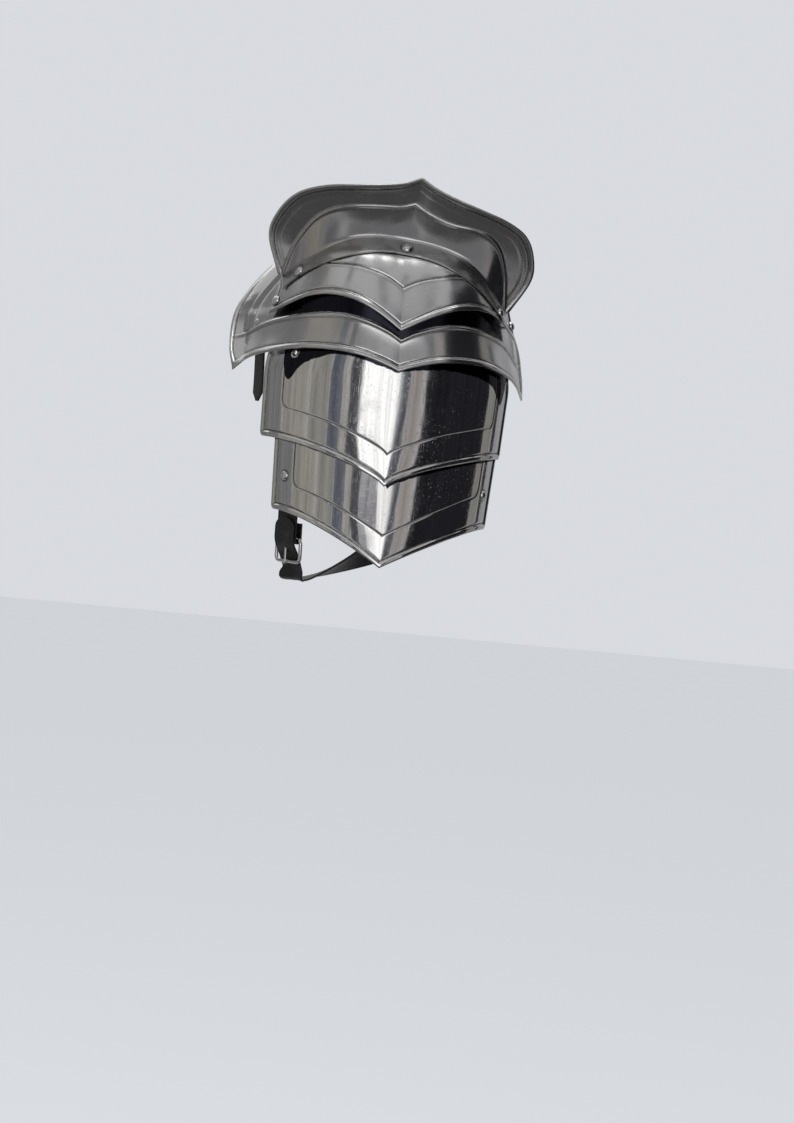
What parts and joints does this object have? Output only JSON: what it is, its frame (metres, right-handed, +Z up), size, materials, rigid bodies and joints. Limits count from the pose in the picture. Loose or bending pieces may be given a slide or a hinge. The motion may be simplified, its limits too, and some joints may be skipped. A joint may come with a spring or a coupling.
{
  "type": "pauldron",
  "caption": "Shoulder armour with an upright neck guard, a domed cap, a winged lame and two arm lames on leathers, with a buckled arm strap.",
  "frame": {"origin": "underside of the cap's crown, where it sits on the shoulder", "axes": "+X to the wearer's front, -Y out from the shoulder, +Z up"},
  "size_m": [0.2626, 0.1591, 0.3481],
  "materials": {
    "plate_steel": "polished steel with fine scratches",
    "rivet_steel": "polished",
    "black_leather": "smooth, lightly worn"
  },
  "bodies": {
    "shoulder": {"cap_lame": "plate_steel", "haute_piece": "plate_steel", "haute_rivet_centre": "rivet_steel", "haute_rivet_rear": "rivet_steel", "haute_rivet_front": "rivet_steel", "pivot_rivet_rear": "rivet_steel", "pivot_rivet_front": "rivet_steel"},
    "arm": {"wide_lame": "plate_steel", "upper_arm_lame": "plate_steel", "lower_arm_lame": "plate_steel", "upper_rivet_rear": "rivet_steel", "upper_rivet_front": "rivet_steel", "lower_rivet_rear": "rivet_steel", "lower_rivet_front": "rivet_steel", "hanging_rivet": "rivet_steel", "buckle_frame": "rivet_steel", "buckle_tongue": "rivet_steel", "rear_leather": "black_leather", "front_leather": "black_leather", "arm_strap": "black_leather", "buckle_strap": "black_leather", "hanging_strap": "black_leather"}
  },
  "joints": [
    {"name": "lame_pivot", "type": "hinge", "parent": "shoulder", "child": "arm", "pos_m": [0, -0.0355, -0.0847], "axis": [-1, 0, 0], "range_deg": [-6, 10]}
  ]
}
